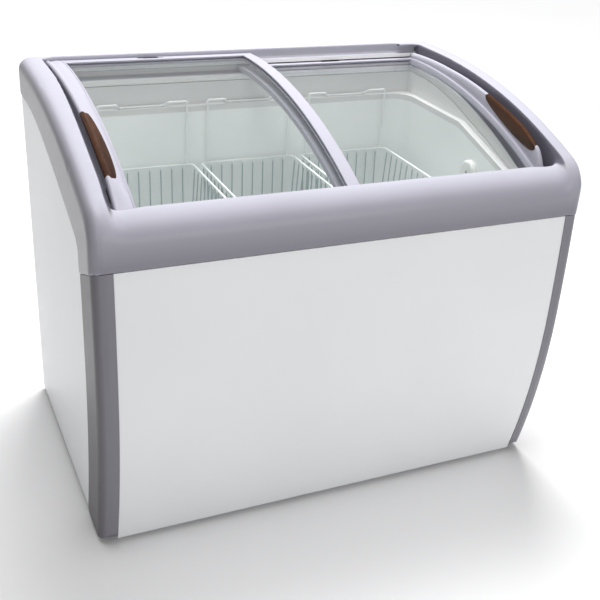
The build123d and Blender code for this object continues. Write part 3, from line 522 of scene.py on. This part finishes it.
def top_moulding(material):
    """The top frame as one flowing moulding: rounded rails that run out into the front band."""
    obj = welded_copy("top_frame", "top_moulding")
    remesh = obj.modifiers.new("skin", "REMESH")
    remesh.mode, remesh.voxel_size = "VOXEL", FRAME_VOXEL
    mesh = applied(obj)
    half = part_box("lid_right_outer_stile")[1].x
    widened(mesh, half)

    def everywhere(co):
        return np.full(len(co), 0.35)

    def crests(co):
        """The rails' crests above the lids."""
        radius = np.hypot(co[:, 1] - AXIS_Y, co[:, 2] - AXIS_Z)
        above = steps(radius, LID_TOP["left"] - 0.004, LID_TOP["left"] + 0.006)
        return above * steps(np.abs(co[:, 0]), half - 0.02, half - 0.005)

    def corners(co):
        """Where the low front band meets the tall rails."""
        x, y = np.abs(co[:, 0]), co[:, 1]
        span = steps(x, half - 0.055, half - 0.01) * steps(-x, -half - 0.045, -half - 0.015)
        return span * steps(-y, 0.235, 0.285) * steps(co[:, 2], 0.655, 0.70)

    relaxed(mesh, crests, CREST_TURNS)
    relaxed(mesh, corners, CORNER_TURNS)
    relaxed(mesh, everywhere, SKIN_TURNS)
    smooth_shading(mesh, 60)
    finished(obj, "cabinet", "lilac_plastic", material, "top_frame")


# ---------------------------------------------------------------- lids
def on_arc(x, radius, y):
    """Point at x and y on the lid arc of that radius."""
    return Vector((x, y, AXIS_Z + math.sqrt(radius * radius - (y - AXIS_Y) ** 2)))


def bulge(y, side):
    """0 where the stile is plain, 1 along the grip."""
    front, rear = GRIP[side]
    return ease(y, RAMP_FRONT, front + 0.004) * ease(-y, -RAMP_REAR, -rear - 0.004) ** 0.8


def ridge(y, side):
    """Radius of the stile's ridge: it rises slowly from the back and drops off before the front."""
    places, radii = zip(*RIDGE[side])
    high = float(np.interp(y, places, radii))
    top = LID_TOP[side]
    return top + (high - top) * ease(y, RAMP_FRONT, GRIP[side][0] + 0.002)


def grip_curve(y, side, x_out, x_foot):
    """The grip in section, from low on its outer side over the ridge to its foot.

    Each point is its distance from the freezer's middle and its radius."""
    high, top = ridge(y, side), LID_TOP[side]
    rise = high - top
    lean = (x_out - 0.012 - x_foot) * 0.5
    return [(x_out, top - 0.005),
            (x_out, high - 0.0065),
            (x_out - 0.0014, high - 0.0024),
            (x_out - 0.0045, high),
            (x_out - 0.0075, high - 0.0003),
            (x_out - 0.0105, high - 0.0020 - 0.05 * rise),
            (x_out - 0.012 - lean, top + 0.45 * rise),
            (x_foot + 0.0008, top + 0.12 * rise),
            (x_foot, top - 0.0002)]


def rounded_line(keys, each=4):
    """Points on a smooth line through the keys."""
    out = []
    for i in range(len(keys) - 1):
        p = [np.array(keys[max(0, min(len(keys) - 1, j))]) for j in (i - 1, i, i + 1, i + 2)]
        for k in range(each):
            t = k / each
            out.append(0.5 * (2 * p[1] + (p[2] - p[0]) * t + (2 * p[0] - 5 * p[1] + 4 * p[2] - p[3]) * t * t
                              + (3 * p[1] - p[0] - 3 * p[2] + p[3]) * t ** 3))
    return out + [np.array(keys[-1])]


def lengths(line):
    """Length along a line of points, at each of them."""
    return np.r_[0.0, np.cumsum(np.hypot(*np.diff(np.array(line), axis=0).T))]


def lid_side(side):
    """Sign of X, and the stile's outer distance from the middle and its ends along Y."""
    low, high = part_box(f"lid_{side}_outer_stile")
    return (1 if side == "right" else -1), max(abs(low.x), abs(high.x)), low.y, high.y


def outer_stile(side, material):
    """Outer stile of a lid, with the grip swelling out of it and a thin bead along the glass."""
    way, x_out, y0, y1 = lid_side(side)
    x_in, top = STILE_INNER[side], LID_TOP[side]
    bead = [(x_in + 0.0045, top - 0.0008), (x_in + 0.003, top + 0.0009), (x_in + 0.001, top + 0.0008),
            (x_in, top - 0.0012), (x_in, top - STILE_DEPTH), (x_out, top - STILE_DEPTH)]
    rings = []
    for i in range(STILE_STEPS + 1):
        y = y0 + (y1 - y0) * i / STILE_STEPS
        foot = x_in + 0.006 + (GRIP_FOOT[side] - x_in - 0.006) * bulge(y, side)
        line = rounded_line(grip_curve(y, side, x_out, foot))
        rings.append([on_arc(way * x, r, y) for x, r in [tuple(p) for p in line] + bead])
    obj = loft(f"{side}_lid_outer_stile", rings)
    smooth_shading(obj.data, 55)
    finished(obj, f"lid_{side}", "lilac_plastic", material, f"lid_{side}_outer_stile")


def insert_skin(line, start, stop, proud):
    """Part of the section line between two shares of its length, moved outwards, and its back."""
    at = lengths(line)
    share = np.linspace(start, stop, INSERT_POINTS) * at[-1]
    pts = np.stack([np.interp(share, at, np.array(line)[:, k]) for k in (0, 1)], axis=1)
    along = np.gradient(pts, axis=0)
    out = np.stack([along[:, 1], -along[:, 0]], axis=1)
    out /= np.maximum(np.hypot(*out.T)[:, None], 1e-9)
    return pts + out * proud, pts - out * 0.0015


def insert_ring(side, u, x_out):
    """Section of the insert at share u of its length, as (distance from the middle, radius)."""
    y = GRIP[side][0] + (GRIP[side][1] - GRIP[side][0]) * u
    line = rounded_line(grip_curve(y, side, x_out, GRIP_FOOT[side]))
    at = lengths(line)
    rise = at[np.array(line)[:, 1].argmax()]
    leaf = max(math.sin(math.pi * u), 0.0) ** LEAF_BLUNT[side] * (1 - LEAF_TAPER[side] * u * u)
    crest = rise / at[-1]
    stop = crest + (1 - crest) * (LEAF_LEAST + (LEAF[side] - LEAF_LEAST) * leaf)
    outer = min(0.0095, rise * 0.8)
    start = max(0.02, (rise - outer * (0.55 + 0.45 * leaf)) / at[-1])
    end = min(u, 1 - u) * INSERT_STEPS
    proud = INSERT_PROUD * min(1.0, end / 2.0) - 0.0012 * max(0.0, 1 - end / 1.0)
    over, under = insert_skin(line, start, stop, proud)
    inset = 0.0014 * max(0.0, 1 - end)
    return y, [(x - inset, r) for x, r in over] + [(x, r) for x, r in under[::-1]]


def handle_insert(side, material):
    """Glossy insert let into the grip: leaf-shaped seen from the lid's middle."""
    way, x_out, _, _ = lid_side(side)
    rings = []
    for i in range(INSERT_STEPS + 1):
        y, ring = insert_ring(side, i / INSERT_STEPS, x_out)
        rings.append([on_arc(way * x, r, y) for x, r in ring])
    obj = loft(f"{side}_lid_handle_insert", rings)
    smooth_shading(obj.data, 65)
    finished(obj, f"lid_{side}", "wood_insert", material, f"lid_{side}_handle_insert")


def finger_slot_shade(side, material):
    """Dark sheet of painted shade in the slot for a fingertip along the back of a lid's rear rail, with
    rounded ends.
    """
    low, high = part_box(f"lid_{side}_rear_rail")
    middle, y0 = (low.x + high.x) / 2 + SLOT_SHIFT[side], high.y - SLOT_INSET
    rings = []
    for lift in (-0.0008, 0.0004):
        ring = []
        for i in range(40):
            a = 2 * math.pi * i / 40
            x = math.copysign(abs(math.cos(a)) ** 0.25, math.cos(a)) * SLOT_HALF_X
            y = math.copysign(abs(math.sin(a)) ** 0.6, math.sin(a)) * SLOT_HALF_Y
            ring.append(on_arc(middle + x, LID_TOP[side] + lift, y0 + y))
        rings.append(ring)
    obj = loft(f"{side}_lid_finger_slot", rings)
    smooth_shading(obj.data, 40)
    finished(obj, f"lid_{side}", "black_plastic", material)


def lids(materials):
    lilac = materials["lilac_plastic"]
    for side in ("left", "right"):
        outer_stile(side, lilac)
        handle_insert(side, materials["wood_insert"])
        finger_slot_shade(side, materials["black_plastic"])
        for piece in ("inner_stile", "rear_rail", "front_rail"):
            softened(f"lid_{side}_{piece}", f"lid_{side}", "lilac_plastic", lilac)


# ---------------------------------------------------------------- studio
def floor_material():
    """Pale floor that glows with painted light behind the freezer."""
    m = Nodes("studio_floor")
    tone = m.mix(m.ramp(m.noise(1.5, 3.0), 0.3, 0.7), (0.86, 0.86, 0.865), (0.88, 0.88, 0.885))
    glow = m.mix(m.ramp(m.split(m.place)[1], GLOW_FROM, GLOW_TO), (0.0, 0.0, 0.0), (GLOW, GLOW, GLOW))
    mat = m.surface(tone, m.ramp(m.noise(8.0, 3.0), 0.3, 0.7, 0.55, 0.65), Emission_Strength=1.0)
    shader = m.out.inputs["Surface"].links[0].from_node
    m.join(glow, shader.inputs["Emission Color"])
    return mat


def floor():
    mesh = bpy.data.meshes.new("studio_floor")
    bm = bmesh.new()
    bmesh.ops.create_grid(bm, x_segments=2, y_segments=2, size=FLOOR_SIZE)
    bm.to_mesh(mesh)
    bm.free()
    obj = object_of("studio_floor", mesh)
    mesh.materials.append(floor_material())


def area_light(name, at, aim, size, watts):
    data = bpy.data.lights.new(name, "AREA")
    data.shape = "RECTANGLE"
    data.size, data.size_y = size
    data.energy = watts
    obj = bpy.data.objects.new(name, data)
    bpy.context.scene.collection.objects.link(obj)
    way = Vector(aim) - Vector(at)
    obj.matrix_world = Matrix.Translation(at) @ way.to_track_quat("-Z", "Y").to_matrix().to_4x4()
    return obj


def studio():
    bpy.context.scene.view_settings.view_transform = "Standard"
    world = bpy.data.worlds.new("studio")
    bpy.context.scene.world = world
    world.use_nodes = True
    sky = world.node_tree.nodes["Background"]
    sky.inputs["Color"].default_value = (1.0, 1.0, 1.0, 1.0)
    sky.inputs["Strength"].default_value = WORLD_LIGHT
    key = area_light("top", (0.5, 1.0, 3.0), (0.0, 0.0, 0.2), (1.6, 1.4), 125.0)
    key.visible_glossy = False
    area_light("sheen", (-0.7, -0.4, 3.0), (0.0, 0.0, 0.6), (1.4, 1.0), 22.0)
    area_light("front", (0.8, -3.4, 1.2), (0.0, 0.0, 0.4), (2.4, 1.2), 25.0)
    floor()


def main():
    camera()
    studio()
    materials = all_materials()
    dress_cad(materials)
    top_moulding(materials["lilac_frame"])
    lids(materials)


main()
